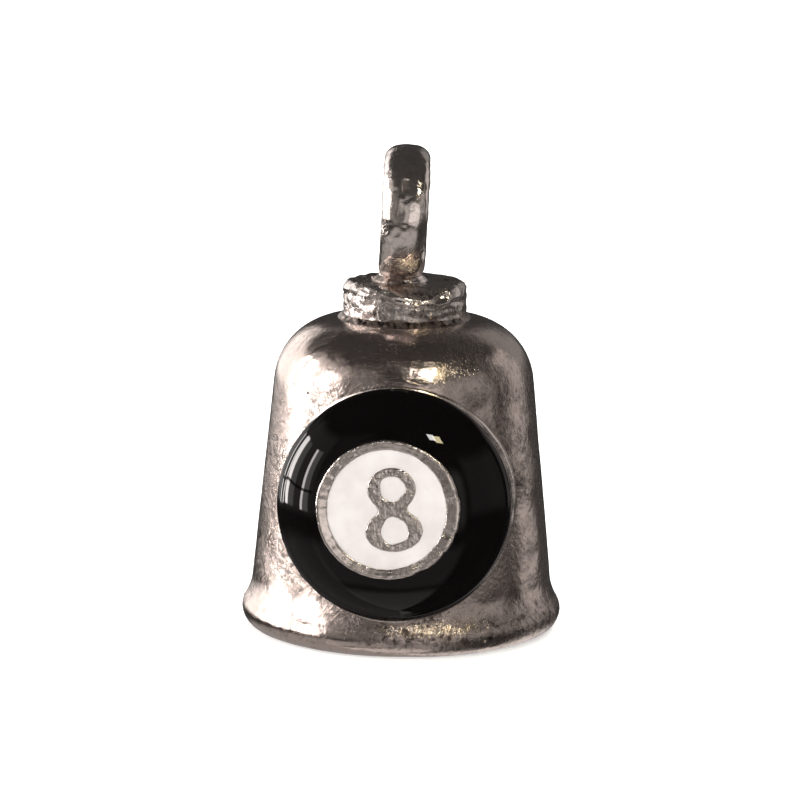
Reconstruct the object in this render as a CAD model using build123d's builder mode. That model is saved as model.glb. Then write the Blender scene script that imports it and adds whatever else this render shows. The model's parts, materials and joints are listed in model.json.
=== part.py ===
"""Hanging rider's bell: a cast bell with a hanging loop, a free clapper and an enamelled 8-ball boss.

Units are millimetres. +Z is up and the origin is on the bell's axis, in the plane that the lip rests on.
The boss is on the front, which faces -Y, and +X is to the right of someone who looks at the boss.
"""
from build123d import *
from math import atan, cos, pi, sin, sqrt, tan
import os

# Bell: a flared lip, a gently tapered wall, a round shoulder and a flat crown
LIP_EDGE_HEIGHT = 1.2
LIP_UNDERCUT = 1.4
LIP_LAND = 0.75
LIP_TOP_INSET = 0.3
LIP_TOP_RISE = 1.1
LIP_FLARE = 0.83
WAIST_HEIGHT = 4.4
FLARE_SAG = 0.12
CROWN_ABOVE_BOSS = 3.55
CROWN_INSET = 2.03
WALL = 1.2
CROWN_WALL = 1.6

# Collar between the crown and the hanging loop
COLLAR_RADIUS = 4.78
COLLAR_HEIGHT = 2.9
COLLAR_CHAMFER = 0.55
COLLAR_LAND = 0.15

# Hanging loop: a ring that stands on the collar, with a tang that is riveted under the crown
EYE_RADIUS = 2.75
LOOP_THICKNESS = 2.55
LOOP_WIDTH = 3.3
LOOP_ROUNDING = 0.95
FOOT_RADIUS = 1.6
TANG_RADIUS = 1.2
RIVET_RADIUS = 1.8
RIVET_HEIGHT = 0.7
WASHER_RADIUS = 3.0
WASHER_THICKNESS = 0.6
SOLDER_WIDTH = 0.6
SOLDER_RISE = 0.5

# Clapper: an eye in the tang, a round link, a wire stem and a ball
SHANK_RADIUS = 0.45
SHANK_DEPTH = 1.6
EYE_DROP = 0.25
WIRE_RADIUS = 0.42
EYE_RING_RADIUS = 1.25
LINK_RING_RADIUS = 1.9
STEM_RING_RADIUS = 1.2
STEM_RADIUS = 0.5
BALL_RADIUS = 2.8
BALL_CENTRE_HEIGHT = 5.6

# Boss: a round casting with a saddle back, a domed face, a raised ring and a raised numeral
FIELD_RADIUS = 4.5
RING_WIDTH = 0.74
BLACK_WIDTH = 3.61
BOSS_MARGIN = 2.05
BOSS_FOOT_HEIGHT = 3.15
BOSS_LEDGE = 0.2
BOSS_STEP = 0.35
DOME_EDGE_HEIGHT = 0.45
DOME_HEIGHT = 3.2
DOME_SAG = 0.4
ENAMEL_DEPTH = 0.4
RING_PROUD = 0.15
NUMERAL_MARGIN = 1.3
NUMERAL_PROUD = 0.1
NUMERAL_SHIFT = 0.47
NUMERAL_LEAN = 4.8

# The numeral's own proportions, as shares of its height
BOWL_SPACING = 0.5
UPPER_BOWL = (0.289, 0.253)
LOWER_BOWL = (0.34, 0.25)
UPPER_COUNTER = 0.144
LOWER_COUNTER = 0.156
NUMERAL_WAIST = 0.33

# Clearances, and how far the boss's foot is buried in the bell
BRAZE_CLEARANCE = 0.05
HANG_CLEARANCE = 0.15
BURIED = 2.0

# Boss and wall: the boss sets the bell's width and height, since the wall and crown stand clear of it
ring_outer_radius = FIELD_RADIUS + RING_WIDTH
boss_radius = ring_outer_radius + BLACK_WIDTH
boss_height = BOSS_FOOT_HEIGHT + boss_radius
boss_wall_radius = boss_radius + BOSS_MARGIN
crown_height = boss_height + boss_radius + CROWN_ABOVE_BOSS
taper = atan(CROWN_INSET / (crown_height - WAIST_HEIGHT))

# Bell: sizes that follow from the values above
waist_radius = boss_wall_radius + (boss_height - WAIST_HEIGHT) * tan(taper)
lip_radius = waist_radius + LIP_FLARE
lip_seat_radius = lip_radius - LIP_UNDERCUT
mouth_radius = lip_seat_radius - LIP_LAND
crown_corner_radius = waist_radius - CROWN_INSET
shoulder_round = (crown_corner_radius - COLLAR_RADIUS - COLLAR_LAND) / tan((pi / 2 - taper) / 2)
inner_waist_radius = waist_radius - WALL / cos(taper)
mouth_band_height = WAIST_HEIGHT + (inner_waist_radius - mouth_radius) / tan(taper)
ceiling_height = crown_height - CROWN_WALL
ceiling_corner_radius = inner_waist_radius - (ceiling_height - WAIST_HEIGHT) * tan(taper)

# Collar, loop and tang: heights from the crown up and down
collar_top = crown_height + COLLAR_HEIGHT
loop_path_radius = EYE_RADIUS + LOOP_THICKNESS / 2
loop_height = collar_top + EYE_RADIUS + LOOP_THICKNESS
washer_bottom = ceiling_height - WASHER_THICKNESS
tang_bottom = washer_bottom - RIVET_HEIGHT

# Clapper: each ring hangs from the wire of the one above it
hang_step = 2 * WIRE_RADIUS + HANG_CLEARANCE
eye_ring_height = tang_bottom - EYE_DROP - WIRE_RADIUS - EYE_RING_RADIUS
eye_pivot_height = eye_ring_height - EYE_RING_RADIUS
link_height = eye_pivot_height + hang_step - LINK_RING_RADIUS
link_pivot_height = link_height - LINK_RING_RADIUS
stem_ring_height = link_pivot_height + hang_step - STEM_RING_RADIUS
stem_bottom = BALL_CENTRE_HEIGHT - BALL_RADIUS

# Boss: square to the tapered wall, so its own Z axis is the wall's outward normal at the front
boss_depth = boss_wall_radius - sqrt(boss_wall_radius**2 - boss_radius**2) + BURIED
floor_height = DOME_HEIGHT - ENAMEL_DEPTH
numeral_height = 2 * (FIELD_RADIUS - NUMERAL_MARGIN)
bowl_offset = BOWL_SPACING * numeral_height / 2
boss_origin = (0, -boss_wall_radius, boss_height)
boss_normal = (0, -cos(taper), sin(taper))
boss_plane = Plane(origin=boss_origin, x_dir=(1, 0, 0), z_dir=boss_normal)
boss_section = Plane(origin=boss_origin, x_dir=(1, 0, 0), z_dir=(0, -sin(taper), -cos(taper)))
boss_axis = Axis(boss_origin, boss_normal)


def save(builder, name):
    """Label one finished piece and write it as its own STEP file."""
    builder.part.label = name
    export_step(builder.part, f"parts/{name}.step")


def solid_bell(grow=0.0):
    """The bell's outer form without its hollow, made larger all round by grow."""
    seat = (lip_seat_radius + grow, 0)
    edge = (lip_radius + grow, LIP_EDGE_HEIGHT)
    lip_top = (lip_radius + grow - LIP_TOP_INSET, LIP_EDGE_HEIGHT + LIP_TOP_RISE)
    waist = (waist_radius + grow, WAIST_HEIGHT)
    corner = (crown_corner_radius + grow, crown_height + grow)
    with BuildPart() as body:
        with BuildSketch(Plane.XZ) as outline:
            with BuildLine():
                Line((0, 0), seat)
                ThreePointArc(seat, edge, lip_top)
                SagittaArc(lip_top, waist, FLARE_SAG)
                Polyline(waist, corner, (0, crown_height + grow), (0, 0))
            make_face()
            fillet(outline.vertices().sort_by_distance(corner)[0], shoulder_round)
        revolve(axis=Axis.Z)
    return body.part


def solid_boss(inset):
    """The boss's domed form, smaller all round by inset, with its foot buried in the bell."""
    radius = boss_radius - inset
    edge = (radius, DOME_EDGE_HEIGHT - inset)
    crown = (ring_outer_radius, DOME_HEIGHT - inset)
    with BuildPart() as body:
        with BuildSketch(boss_section):
            with BuildLine():
                Polyline((0, -boss_depth), (radius, -boss_depth), edge)
                SagittaArc(edge, crown, -DOME_SAG)
                Polyline(crown, (0, DOME_HEIGHT - inset), (0, -boss_depth))
            make_face()
        revolve(axis=boss_axis)
    return body.part


def numeral_bowls(mode=Mode.ADD):
    """The numeral 8 without its counters: two bowls joined at the waist."""
    with Locations(Location((NUMERAL_SHIFT, 0, 0), (0, 0, NUMERAL_LEAN))):
        Rectangle(NUMERAL_WAIST * numeral_height, bowl_offset, mode=mode)
        with Locations((0, bowl_offset)):
            Ellipse(UPPER_BOWL[0] * numeral_height, UPPER_BOWL[1] * numeral_height, mode=mode)
        with Locations((0, -bowl_offset)):
            Ellipse(LOWER_BOWL[0] * numeral_height, LOWER_BOWL[1] * numeral_height, mode=mode)


def numeral_counters(mode=Mode.ADD):
    """The two openings of the numeral 8."""
    with Locations(Location((NUMERAL_SHIFT, 0, 0), (0, 0, NUMERAL_LEAN))):
        with Locations((0, bowl_offset)):
            Circle(UPPER_COUNTER * numeral_height, mode=mode)
        with Locations((0, -bowl_offset)):
            Circle(LOWER_COUNTER * numeral_height, mode=mode)


def wire_ring(height, path_radius, plane):
    """A round wire ring on the bell's axis, lying in the given upright plane."""
    with BuildPart() as body:
        with BuildSketch(Plane(origin=(0, 0, height), x_dir=(0, 0, 1), z_dir=plane.x_dir)):
            with Locations((-path_radius, 0)):
                Circle(WIRE_RADIUS)
        revolve(axis=Axis((0, 0, height), plane.z_dir))
    return body.part


def solder_ring(radius, height):
    """A sloping bead of solder round a foot of the given radius, reaching below the foot's seat."""
    with BuildPart() as body:
        with BuildSketch(Plane.XZ):
            with BuildLine():
                Polyline(
                    (radius, height - SOLDER_WIDTH),
                    (radius + SOLDER_WIDTH, height - SOLDER_WIDTH),
                    (radius + SOLDER_WIDTH, height),
                    (radius, height + SOLDER_RISE),
                    close=True,
                )
            make_face()
        revolve(axis=Axis.Z)
    return body.part


os.makedirs("parts", exist_ok=True)
bell_form = solid_bell()
ledge_form = solid_bell(BOSS_STEP)
boss_form = solid_boss(0)
boss_core = solid_boss(ENAMEL_DEPTH)
collar_bead = solder_ring(COLLAR_RADIUS, crown_height)
loop_bead = solder_ring(FOOT_RADIUS, collar_top)
eye_ring = wire_ring(eye_ring_height, EYE_RING_RADIUS, Plane.YZ)
link_ring = wire_ring(link_height, LINK_RING_RADIUS, Plane.XZ)
stem_ring = wire_ring(stem_ring_height, STEM_RING_RADIUS, Plane.YZ)

# Bell shell: one casting, open at the mouth, bored through the crown for the loop's tang
with BuildPart() as bell_shell:
    add(bell_form)
    with BuildSketch(Plane.XZ) as hollow:
        with BuildLine():
            Polyline(
                (0, 0),
                (mouth_radius, 0),
                (mouth_radius, mouth_band_height),
                (ceiling_corner_radius, ceiling_height),
                (0, ceiling_height),
                close=True,
            )
        make_face()
        ceiling_corner = hollow.vertices().sort_by_distance((ceiling_corner_radius, ceiling_height))[0]
        fillet(ceiling_corner, shoulder_round - WALL)
    revolve(axis=Axis.Z, mode=Mode.SUBTRACT)
    Hole(TANG_RADIUS + BRAZE_CLEARANCE)
save(bell_shell, "bell_shell")

# Crown collar: a thick disc that stands on the crown
with BuildPart() as crown_collar:
    with BuildSketch(Plane.XY.offset(crown_height)):
        Circle(COLLAR_RADIUS)
        Circle(TANG_RADIUS + BRAZE_CLEARANCE, mode=Mode.SUBTRACT)
    extrude(amount=COLLAR_HEIGHT)
    top_rim = crown_collar.faces().sort_by(Axis.Z)[-1].outer_wire().edges()
    chamfer(top_rim, COLLAR_CHAMFER)
save(crown_collar, "crown_collar")

# Hanging loop: ring, short foot and riveted tang in one piece
with BuildPart() as hanger_loop:
    with BuildSketch(Plane.XY.offset(loop_height)):
        with Locations((0, loop_path_radius)):
            RectangleRounded(LOOP_WIDTH, LOOP_THICKNESS, LOOP_ROUNDING)
    revolve(axis=Axis((0, 0, loop_height), (1, 0, 0)))
    with BuildSketch(Plane.XY.offset(collar_top)):
        Circle(FOOT_RADIUS)
    extrude(amount=LOOP_THICKNESS / 2)
    with BuildSketch(Plane.XY.offset(washer_bottom)):
        Circle(TANG_RADIUS)
    extrude(amount=collar_top - washer_bottom)
    with BuildSketch(Plane.XY.offset(tang_bottom)):
        Circle(RIVET_RADIUS)
    extrude(amount=RIVET_HEIGHT)
    with BuildSketch(Plane.XY.offset(tang_bottom)):
        Circle(SHANK_RADIUS + BRAZE_CLEARANCE)
    extrude(amount=SHANK_DEPTH, mode=Mode.SUBTRACT)
save(hanger_loop, "hanger_loop")

# Solder beads: one round the collar's foot on the shoulder, one round the loop's foot on the collar
with BuildPart() as collar_solder:
    add(collar_bead)
    add(bell_form, mode=Mode.SUBTRACT)
save(collar_solder, "collar_solder")

with BuildPart() as loop_solder:
    add(loop_bead)
    add(crown_collar.part, mode=Mode.SUBTRACT)
    add(hanger_loop.part, mode=Mode.SUBTRACT)
save(loop_solder, "loop_solder")

# Washer between the crown's ceiling and the riveted end of the tang
with BuildPart() as crown_washer:
    with BuildSketch(Plane.XY.offset(washer_bottom)):
        Circle(WASHER_RADIUS)
        Circle(TANG_RADIUS + BRAZE_CLEARANCE, mode=Mode.SUBTRACT)
    extrude(amount=WASHER_THICKNESS)
save(crown_washer, "crown_washer")

# Clapper eye: a wire ring in the bell's fore-and-aft plane, with a shank brazed into the tang
with BuildPart() as clapper_eye:
    add(eye_ring)
    with BuildSketch(Plane.XY.offset(eye_ring_height + EYE_RING_RADIUS)):
        Circle(SHANK_RADIUS)
    extrude(amount=tang_bottom + SHANK_DEPTH - BRAZE_CLEARANCE - eye_ring_height - EYE_RING_RADIUS)
save(clapper_eye, "clapper_eye")

# Clapper link: a closed wire ring that hangs in the eye, square to it
with BuildPart() as clapper_link:
    add(link_ring)
save(clapper_link, "clapper_link")

# Clapper stem: a wire ring that hangs in the link, with a straight wire below it
with BuildPart() as clapper_stem:
    add(stem_ring)
    with BuildSketch(Plane.XY.offset(stem_bottom)):
        Circle(STEM_RADIUS)
    extrude(amount=stem_ring_height - STEM_RING_RADIUS - stem_bottom)
save(clapper_stem, "clapper_stem")

# Clapper ball: bored through for the stem
with BuildPart() as clapper_ball:
    with Locations((0, 0, BALL_CENTRE_HEIGHT)):
        Sphere(BALL_RADIUS)
        Hole(STEM_RADIUS + BRAZE_CLEARANCE)
save(clapper_ball, "clapper_ball")

# Medallion: a thin ledge that hugs the bell, a domed core, the raised ring and the raised numeral
with BuildPart() as medallion:
    with BuildSketch(boss_plane.offset(-boss_depth)):
        Circle(boss_radius + BOSS_LEDGE)
    extrude(amount=boss_depth + BURIED)
    add(ledge_form, mode=Mode.INTERSECT)
    add(boss_core)
    with BuildSketch(boss_plane.offset(floor_height)):
        Circle(ring_outer_radius)
        Circle(FIELD_RADIUS, mode=Mode.SUBTRACT)
    extrude(amount=ENAMEL_DEPTH + RING_PROUD)
    with BuildSketch(boss_plane.offset(floor_height)):
        numeral_bowls()
        numeral_counters(mode=Mode.SUBTRACT)
    extrude(amount=ENAMEL_DEPTH + NUMERAL_PROUD)
    add(bell_form, mode=Mode.SUBTRACT)
save(medallion, "medallion")

# Black enamel: the band between the ledge and the raised ring
with BuildPart() as black_enamel:
    add(boss_form)
    with BuildSketch(boss_plane.offset(floor_height)):
        Circle(ring_outer_radius)
    extrude(amount=2 * ENAMEL_DEPTH, mode=Mode.SUBTRACT)
    add(medallion.part, mode=Mode.SUBTRACT)
    add(bell_form, mode=Mode.SUBTRACT)
save(black_enamel, "black_enamel")

# White enamel: the round field about the numeral
with BuildPart() as white_enamel_field:
    with BuildSketch(boss_plane.offset(floor_height)):
        Circle(FIELD_RADIUS)
        numeral_bowls(mode=Mode.SUBTRACT)
    extrude(amount=ENAMEL_DEPTH)
save(white_enamel_field, "white_enamel_field")

# White enamel: one drop in each counter of the numeral
with BuildPart() as white_enamel_counters:
    with BuildSketch(boss_plane.offset(floor_height)):
        numeral_counters()
    extrude(amount=ENAMEL_DEPTH)
save(white_enamel_counters, "white_enamel_counters")
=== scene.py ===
# %% [markdown]
# # A hanging bell charm with an enamelled 8-ball boss
# The charm is a small cast bell on a loop. A round boss on its front carries black and white enamel,
# and a ball clapper hangs inside from a wire link. The CAD model has already fixed every size and every
# joint, so this lesson only gives each piece its final form and finish around that frame.

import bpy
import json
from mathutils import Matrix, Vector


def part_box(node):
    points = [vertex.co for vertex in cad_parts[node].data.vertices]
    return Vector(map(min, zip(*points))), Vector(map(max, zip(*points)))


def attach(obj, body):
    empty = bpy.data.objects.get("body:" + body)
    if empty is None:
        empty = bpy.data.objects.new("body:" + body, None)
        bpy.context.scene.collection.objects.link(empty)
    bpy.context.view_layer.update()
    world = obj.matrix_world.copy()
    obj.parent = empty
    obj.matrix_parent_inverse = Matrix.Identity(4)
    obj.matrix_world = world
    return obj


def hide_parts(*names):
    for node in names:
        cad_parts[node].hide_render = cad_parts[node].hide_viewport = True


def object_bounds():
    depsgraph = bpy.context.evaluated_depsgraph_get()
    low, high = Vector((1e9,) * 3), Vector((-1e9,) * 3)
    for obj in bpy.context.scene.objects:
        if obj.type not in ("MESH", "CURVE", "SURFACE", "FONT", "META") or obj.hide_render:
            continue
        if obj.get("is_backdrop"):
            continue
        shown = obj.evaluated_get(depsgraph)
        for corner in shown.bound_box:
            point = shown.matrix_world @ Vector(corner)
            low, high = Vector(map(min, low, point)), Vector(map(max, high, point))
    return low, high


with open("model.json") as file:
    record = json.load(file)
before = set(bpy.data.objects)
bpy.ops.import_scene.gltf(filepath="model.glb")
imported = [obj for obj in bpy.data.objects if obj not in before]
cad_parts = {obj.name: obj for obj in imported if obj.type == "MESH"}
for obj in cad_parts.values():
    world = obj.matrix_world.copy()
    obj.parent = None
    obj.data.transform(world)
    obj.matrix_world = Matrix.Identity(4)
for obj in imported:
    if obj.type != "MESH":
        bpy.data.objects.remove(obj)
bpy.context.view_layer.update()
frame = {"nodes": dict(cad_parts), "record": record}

# %% Tools and units
import json
from math import atan, atan2, copysign, cos, degrees, dist, exp, hypot, log, pi, radians, sin, sqrt, tan
import bmesh
import bpy
import numpy as np
from mathutils import Quaternion, Vector, noise

MM = 0.001
TURN = 2 * pi


def add_object(name, data):
    """A new object in the scene, at the origin."""
    made = bpy.data.objects.new(name, data)
    bpy.context.scene.collection.objects.link(made)
    return made


def box_mm(node):
    """A CAD node's lowest and highest corners in millimetres."""
    low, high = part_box(node)
    return low / MM, high / MM


bell_high = box_mm("bell_shell")[1]
collar_low, collar_high = box_mm("crown_collar")
loop_low, loop_high = box_mm("hanger_loop")
mounts = {mount["name"]: mount for mount in frame["record"]["mounts"]}
lip_radius = bell_high.x
crown_height = bell_high.z
print("lip radius and crown height, mm:", round(lip_radius, 3), round(crown_height, 3))

# %% [markdown]
# ## Writing node trees as Python
# A node tree of any size is hard to read as a list of nodes and links. One small class wraps a socket,
# so that `1 - mask * 0.4` adds its Math nodes by itself. The same class serves the shader trees of the
# finishes, the world's tree and the Geometry Nodes trees that make the pieces.

# %% A socket with arithmetic, and a bench that adds nodes
class Wire:
    """One output socket of a node tree, with Python's arithmetic on it."""

    def __init__(self, bench, socket):
        self.bench, self.socket = bench, socket

    def also(self, name):
        """Another output of the same node."""
        return Wire(self.bench, self.socket.node.outputs[name])

    def __abs__(self):
        return self.bench.maths("ABSOLUTE", self)

    def smooth(self, low, high, start=0.0, end=1.0):
        """start where the value is at or below low, end where it is at or above high."""
        settings = {"interpolation_type": "SMOOTHSTEP"}
        return self.bench.node("ShaderNodeMapRange", settings, {0: self, 1: low, 2: high, 3: start, 4: end})

    def within(self, low, high, soft):
        """One between low and high, fading to nothing over soft on both sides."""
        return self.smooth(low - soft, low + soft) * self.smooth(high - soft, high + soft, 1.0, 0.0)


def operator(operation, swapped):
    """One of Python's arithmetic operators for a wire. Swapped is for when the wire is on the right."""
    def apply(self, other):
        values = (other, self) if swapped else (self, other)
        return self.bench.maths(operation, *values)
    return apply


OPERATORS = {"add": "ADD", "sub": "SUBTRACT", "mul": "MULTIPLY", "truediv": "DIVIDE", "pow": "POWER"}
for python_name, node_name in OPERATORS.items():
    setattr(Wire, f"__{python_name}__", operator(node_name, False))
    setattr(Wire, f"__r{python_name}__", operator(node_name, True))


class Bench:
    """Adds nodes to one tree: the node's type, its settings first, then its sockets' values or links."""

    def __init__(self, tree):
        self.tree = tree

    def node(self, kind, settings=None, sockets=None, out=0):
        made = self.tree.nodes.new(kind)
        for name, value in (settings or {}).items():
            setattr(made, name, value)
        for key, value in (sockets or {}).items():
            if isinstance(value, Wire):
                self.tree.links.new(value.socket, made.inputs[key])
            else:
                made.inputs[key].default_value = value
        return Wire(self, made.outputs[out]) if len(made.outputs) else made

    def maths(self, operation, *values):
        """A Math node over wires and numbers."""
        return self.node("ShaderNodeMath", {"operation": operation}, dict(enumerate(values)))

    def vector(self, operation, **sockets):
        keyed = {{"a": 0, "b": 1, "scale": "Scale"}[key]: value for key, value in sockets.items()}
        return self.node("ShaderNodeVectorMath", {"operation": operation}, keyed)

    def point(self, x, y, z):
        return self.node("ShaderNodeCombineXYZ", None, {0: x, 1: y, 2: z})

    def speckle(self, place, scale, detail=3.0, roughness=0.5, **more):
        sockets = {"Vector": place, "Scale": scale, "Detail": detail, "Roughness": roughness, **more}
        return self.node("ShaderNodeTexNoise", None, sockets)

    def mix(self, factor, a, b):
        return self.node("ShaderNodeMix", {"data_type": "RGBA"}, {0: factor, 6: a, 7: b}, out=2)


# %% Helpers for a finish
def linear(*srgb):
    """A colour as Blender wants it, from the eight-bit numbers that a maker would write down."""
    shares = [part / 255 for part in srgb]
    return (*[s / 12.92 if s <= 0.04045 else ((s + 0.055) / 1.055) ** 2.4 for s in shares], 1.0)


def new_finish(name):
    """A material, its bench, its main shader and the place on the piece in millimetres."""
    finish = bpy.data.materials.new(name)
    finish.use_nodes = True
    bench = Bench(finish.node_tree)
    shader = finish.node_tree.nodes["Principled BSDF"]
    place = bench.node("ShaderNodeTexCoord", out="Object")
    return finish, bench, shader, bench.vector("SCALE", a=place, scale=1 / MM)


def plug(bench, shader, **wires):
    """Links wires to the shader's sockets, whose names have spaces where the keywords have _."""
    for name, wire in wires.items():
        bench.tree.links.new(wire.socket, shader.inputs[name.replace("_", " ")])


def steady(shader, **values):
    """Sets the shader's sockets that don't vary over the surface, named as in plug."""
    for name, value in values.items():
        shader.inputs[name.replace("_", " ")].default_value = value


def bump(bench, height_mm):
    """A Normal from a height in millimetres."""
    return bench.node("ShaderNodeBump", None, {"Strength": 1.0, "Distance": MM, "Height": height_mm})


# %% [markdown]
# ## Antique pewter
# The bell, collar, loop and boss are one metal: cast, darkened all over, then polished on the high
# places. It is still uneven under the polish, which is what breaks up its reflections. A noise of
# about a millimetre gives that unevenness, a finer one the grain that the polish didn't reach, and
# stretched noise the hairline scratches. The pieces carry a `coarse` attribute that says where the
# surface was left rough, and an `inside` one where no polish reached at all. There are three makes of
# it: the bell's, a brighter one for the loop and collar, and a paler, softer one for the boss. The
# boss's is paler partly from real polish and partly as a painted sheen for the ring's and numeral's
# highlights.

# %% The pewter
def make_pewter(name, bright, patina, polish, uneven):
    """Pewter of two colours. polish is its least roughness, uneven its slow relief in millimetres."""
    finish, bench, shader, place = new_finish(name)
    coarse = bench.node("ShaderNodeAttribute", {"attribute_name": "coarse"}, out="Fac")
    inside = bench.node("ShaderNodeAttribute", {"attribute_name": "inside"}, out="Fac")
    clouds = bench.speckle(place, 0.22, 4.0, 0.55)
    dents = bench.speckle(place, 0.42, 2.0, 0.45, Distortion=0.5)
    grain = bench.speckle(place, 2.4, 5.0, 0.6)
    fine = bench.speckle(place, 12.0, 3.0, 0.6)
    turned = bench.node("ShaderNodeMapping", None, {0: place, 2: (0.5, 0.35, 0.9), 3: (9.0, 0.5, 1.2)})
    crossed = bench.node("ShaderNodeMapping", None, {0: place, 2: (0.2, 1.1, 0.3), 3: (0.45, 7.0, 1.0)})
    lines = [1 - abs(bench.speckle(way, 1.0, 2.0, 0.5) * 2 - 1) for way in (turned, crossed)]
    scratches = lines[0].smooth(0.972, 1.0) * clouds.smooth(0.45, 0.6) + lines[1].smooth(0.978, 1.0) * 0.7
    hollows = grain.smooth(0.36, 0.5, 1.0, 0.0)
    crusts = coarse * bench.speckle(place, 0.9, 4.0, 0.65).smooth(0.42, 0.6)
    worn = clouds.smooth(0.42, 0.62)
    stain = worn * 0.12 + hollows * (0.08 + worn * 0.2 + coarse * 0.4) + crusts * 0.45 + inside * 0.6
    stain = bench.maths("MINIMUM", stain, 0.9)
    plug(bench, shader, Base_Color=bench.mix(stain, bright, patina))
    rough = polish + worn * 0.05 + hollows * (0.04 + worn * 0.08) + coarse * 0.1 + inside * 0.3
    plug(bench, shader, Roughness=rough + scratches * 0.08)
    matte = coarse * 0.06 + worn * 0.026 + 0.008
    height = dents * uneven + grain * matte + fine * (0.0003 + coarse * 0.003)
    height = height - scratches * 0.0025 + inside * grain * 0.05
    plug(bench, shader, Normal=bump(bench, height))
    steady(shader, Metallic=1.0)
    return finish


cast_pewter = make_pewter("cast_pewter", linear(204, 190, 183), linear(62, 51, 45), 0.12, 0.07)
bright_pewter = make_pewter("bright_pewter", linear(226, 216, 210), linear(52, 42, 37), 0.1, 0.14)
# The boss's make is paler: the raised ring and numeral are polished, and the paleness also paints in their
# highlights as a sheen
relief_pewter = make_pewter("relief_pewter", linear(222, 212, 206), linear(96, 84, 78), 0.2, 0.05)
print("pewter finishes:", cast_pewter.name, bright_pewter.name, relief_pewter.name)

# %% [markdown]
# ## Solder, enamel and wire
# Solder is the same grey but dull and lumpy, with flux stains. The black enamel is glass: nearly no
# colour of its own, a very smooth face and long gentle waves. The white enamel is a softer, paler
# glass with faint grey clouds where the metal shows through its edge. The clapper is plated steel.

# %% Solder and clapper steel
def make_metal(name, bright, dull, rough, scale, relief):
    """A plain metal with patches of two colours and a little relief in millimetres."""
    finish, bench, shader, place = new_finish(name)
    patches = bench.speckle(place, scale, 5.0, 0.6)
    grain = bench.speckle(place, scale * 6, 4.0, 0.6)
    plug(bench, shader, Base_Color=bench.mix(patches.smooth(0.35, 0.65), dull, bright))
    plug(bench, shader, Roughness=rough + patches * 0.2 + grain * 0.1)
    plug(bench, shader, Normal=bump(bench, patches * relief + grain * relief * 0.25))
    steady(shader, Metallic=1.0)
    return finish


solder_grey = make_metal("solder_grey", linear(190, 176, 168), linear(40, 32, 28), 0.16, 2.2, 0.06)
washer_grey = make_metal("washer_grey", linear(150, 138, 130), linear(70, 60, 54), 0.28, 1.6, 0.01)
clapper_plate = make_metal("clapper_plate", linear(214, 206, 198), linear(160, 148, 138), 0.12, 0.9, 0.006)

# %% Black and white enamel
black_glass, bench, shader, place = new_finish("black_glass")
waves = bench.speckle(place, 0.35, 2.0, 0.4)
dust = bench.speckle(place, 9.0, 3.0, 0.6)
plug(bench, shader, Base_Color=bench.mix(waves, linear(4, 3, 3), linear(8, 7, 7)))
plug(bench, shader, Roughness=0.02 + dust.smooth(0.55, 0.8) * 0.05)
plug(bench, shader, Normal=bump(bench, waves * 0.012 + dust * 0.0002))
steady(shader, IOR=1.5, Specular_IOR_Level=0.2)

white_glass, bench, shader, place = new_finish("white_glass")
clouds = bench.speckle(place, 0.5, 3.0, 0.5)
flecks = bench.speckle(place, 7.0, 4.0, 0.6)
tint = bench.mix(clouds.smooth(0.3, 0.7), linear(213, 207, 207), linear(226, 221, 221))
tint = bench.mix(flecks.smooth(0.68, 0.8) * 0.35, tint, linear(190, 180, 174))
plug(bench, shader, Base_Color=tint)
plug(bench, shader, Roughness=0.28 + flecks * 0.12)
plug(bench, shader, Normal=bump(bench, clouds * 0.02 + flecks * 0.0012))
steady(shader, IOR=1.5)
print("finishes made:", len(bpy.data.materials))

# %% [markdown]
# ## Turning a section into a piece
# The bell, the collar, the solder beads and the clapper's ball are all turned shapes: one closed
# section line swept round the axis. They could be spun by hand in mesh code. A Geometry Nodes tree
# does it by rule instead: it reads the section as a curve, bends a flat grid round the axis, adds the
# slow wobble and the coarse grain of the casting, and scatters the small pips that a worn mould leaves.

# %% Section lines in millimetres
def arc_through(start, middle, end, steps=10):
    """Points on the arc from start over middle to end, with start left out."""
    (ax, ay), (bx, by), (cx, cy) = start, middle, end
    d = 2 * (ax * (by - cy) + bx * (cy - ay) + cx * (ay - by))
    squares = [x * x + y * y for x, y in (start, middle, end)]
    ux = (squares[0] * (by - cy) + squares[1] * (cy - ay) + squares[2] * (ay - by)) / d
    uy = (squares[0] * (cx - bx) + squares[1] * (ax - cx) + squares[2] * (bx - ax)) / d
    first, last = atan2(ay - uy, ax - ux), atan2(cy - uy, cx - ux)
    centre_side = atan2(by - uy, bx - ux)
    sweep = (last - first) % TURN
    if (centre_side - first) % TURN > sweep:
        sweep -= TURN
    radius = hypot(ax - ux, ay - uy)
    angles = [first + sweep * i / steps for i in range(1, steps + 1)]
    return [(ux + radius * cos(a), uy + radius * sin(a)) for a in angles]


def rounded(before, corner, after, radius, steps=12):
    """Points on the round of that radius at a corner between two straight runs."""
    c = Vector(corner)
    to_before, to_after = (Vector(before) - c).normalized(), (Vector(after) - c).normalized()
    half = to_before.angle(to_after) / 2
    reach = radius / tan(half)
    middle_way = (to_before + to_after).normalized()
    middle = c + middle_way * (radius / sin(half) - radius)
    start, end = c + to_before * reach, c + to_after * reach
    return [tuple(start)] + arc_through(tuple(start), tuple(middle), tuple(end), steps)


def line_mesh(name, loops):
    """A mesh of edges only, in metres, from closed or open lines: [(points in mm, closed), ...]."""
    points, edges = [], []
    for line, closed in loops:
        first = len(points)
        points += [Vector(p) * MM for p in line]
        edges += [(i, i + 1) for i in range(first, len(points) - 1)]
        if closed:
            edges.append((len(points) - 1, first))
    mesh = bpy.data.meshes.new(name)
    mesh.from_pydata(points, edges, [])
    return mesh


def section(points):
    """A closed section line from (radius, height) points."""
    return line_mesh("section", [([(r, 0, z) for r, z in points], True)])


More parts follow.
